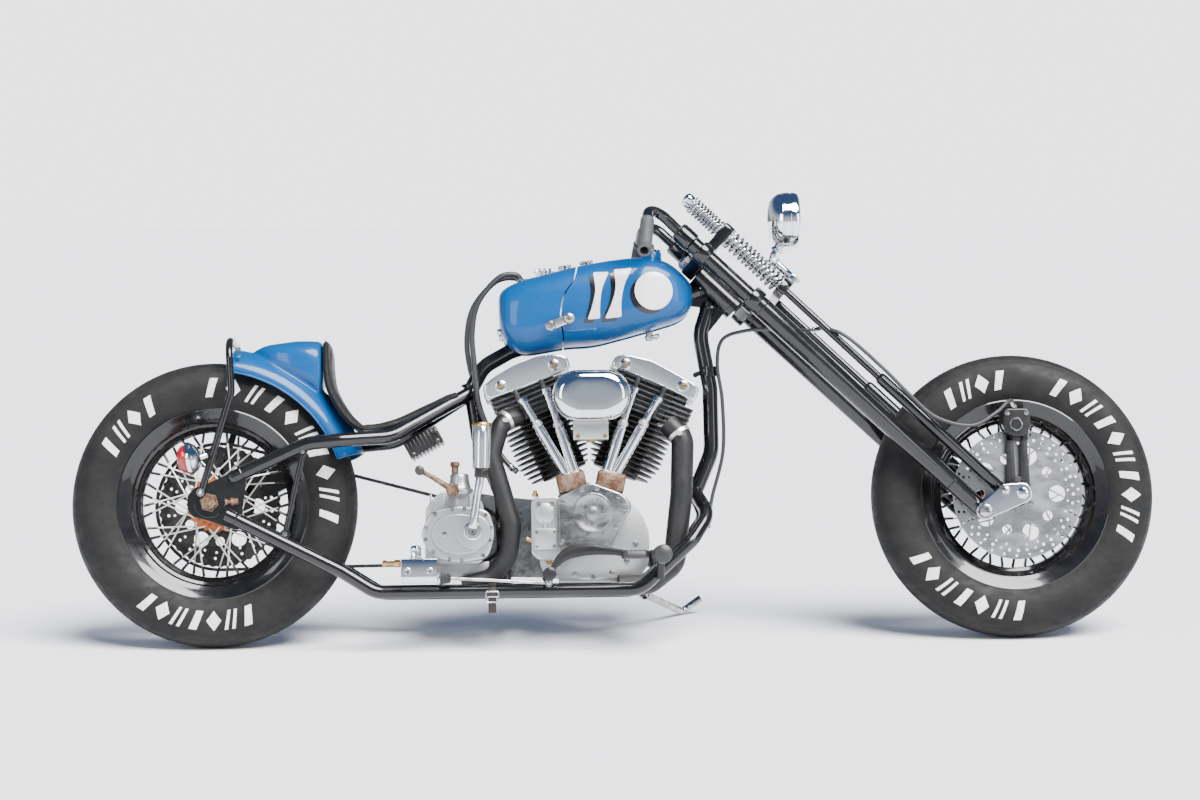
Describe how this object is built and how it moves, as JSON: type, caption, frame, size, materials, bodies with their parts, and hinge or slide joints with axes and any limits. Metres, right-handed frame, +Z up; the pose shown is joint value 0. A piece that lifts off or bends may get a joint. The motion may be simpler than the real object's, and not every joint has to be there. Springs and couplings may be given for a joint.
{
  "type": "chopper motorcycle",
  "caption": "Long low custom motorcycle with a rigid frame, springer fork, V-twin engine, small peanut-shaped tank and two equal fat tyres, leaning on its side stand.",
  "frame": {"origin": "on the ground under the middle of the bike's box as it stands on its side stand", "axes": "+X forward along the wheelbase, +Y to the rider's left, the side it leans to, +Z up"},
  "size_m": [2.5119, 0.6985, 1.0409],
  "materials": {
    "gloss_black": "gloss",
    "blue_paint": "gloss",
    "tyre": "matt",
    "spoke_steel": "satin",
    "disc_steel": "brushed",
    "black_disc": "satin",
    "chrome": "polished",
    "polished_alloy": "polished",
    "cast_alloy": "cast",
    "cylinder_iron": "matt",
    "exhaust_black": "matt",
    "leather": "semi-gloss",
    "hose_rubber": "satin",
    "chain_steel": "oiled",
    "rusty_steel": "worn"
  },
  "bodies": {
    "frame": {"main_frame": "gloss_black", "seat_post": "gloss_black", "down_tube": "gloss_black", "lower_rail_right": "gloss_black", "lower_rail_left": "gloss_black", "upper_stays": "gloss_black", "axle_plates": "gloss_black", "rear_axle": "rusty_steel", "fender_hoop": "gloss_black", "rear_fender": "blue_paint", "seat": "leather", "fuel_tank": "blue_paint", "oil_tank": "blue_paint", "tank_fittings": "chrome", "oil_lines": "hose_rubber", "crankcase": "cast_alloy", "cylinders": "cylinder_iron", "rocker_boxes": "polished_alloy", "pushrod_tubes": "chrome", "air_cleaner": "chrome", "carburettor": "cast_alloy", "primary_cover": "polished_alloy", "gearbox": "cast_alloy", "kick_starter": "polished_alloy", "shift_lever": "rusty_steel", "exhaust_pipes": "exhaust_black", "drive_chain": "chain_steel", "battery_box": "gloss_black", "tail_light": "chrome", "brake_master_cylinder": "chrome", "foot_controls": "black_disc", "rear_brake_caliper": "black_disc", "hose_loop": "hose_rubber"},
    "fork": {"fork_legs": "gloss_black", "fork_front_legs": "gloss_black", "fork_springs": "chrome", "fork_rockers": "gloss_black", "front_axle": "chrome", "handlebar": "gloss_black", "grips": "hose_rubber", "headlight": "chrome", "front_brake_caliper": "black_disc", "front_hose": "hose_rubber"},
    "front_wheel": {"front_tyre": "tyre", "front_rim": "gloss_black", "front_hub": "spoke_steel", "front_disc": "disc_steel"},
    "rear_wheel": {"rear_tyre": "tyre", "rear_rim": "gloss_black", "rear_hub": "spoke_steel", "rear_disc": "black_disc"},
    "side_stand": {"side_stand": "chrome"}
  },
  "joints": [
    {"name": "steering", "type": "hinge", "parent": "frame", "child": "fork", "pos_m": [0.24372, 0.03712, 0.80457], "axis": [-0.7254, 0.1136, 0.6789], "range_deg": [-28, 28], "deforming": ["hose_loop"]},
    {"name": "front_wheel_spin", "type": "hinge", "parent": "fork", "child": "front_wheel", "pos_m": [0.927, -0.043, 0.32578], "axis": [0, 0.9863, -0.165], "continuous": true},
    {"name": "rear_wheel_spin", "type": "hinge", "parent": "frame", "child": "rear_wheel", "pos_m": [-0.927, -0.043, 0.32578], "axis": [0, 0.9863, -0.165], "continuous": true},
    {"name": "stand_fold", "type": "hinge", "parent": "frame", "child": "side_stand", "pos_m": [0.073, 0.08474, 0.08337], "axis": [0, 0.3493, 0.937], "range_deg": [0, 108]}
  ]
}
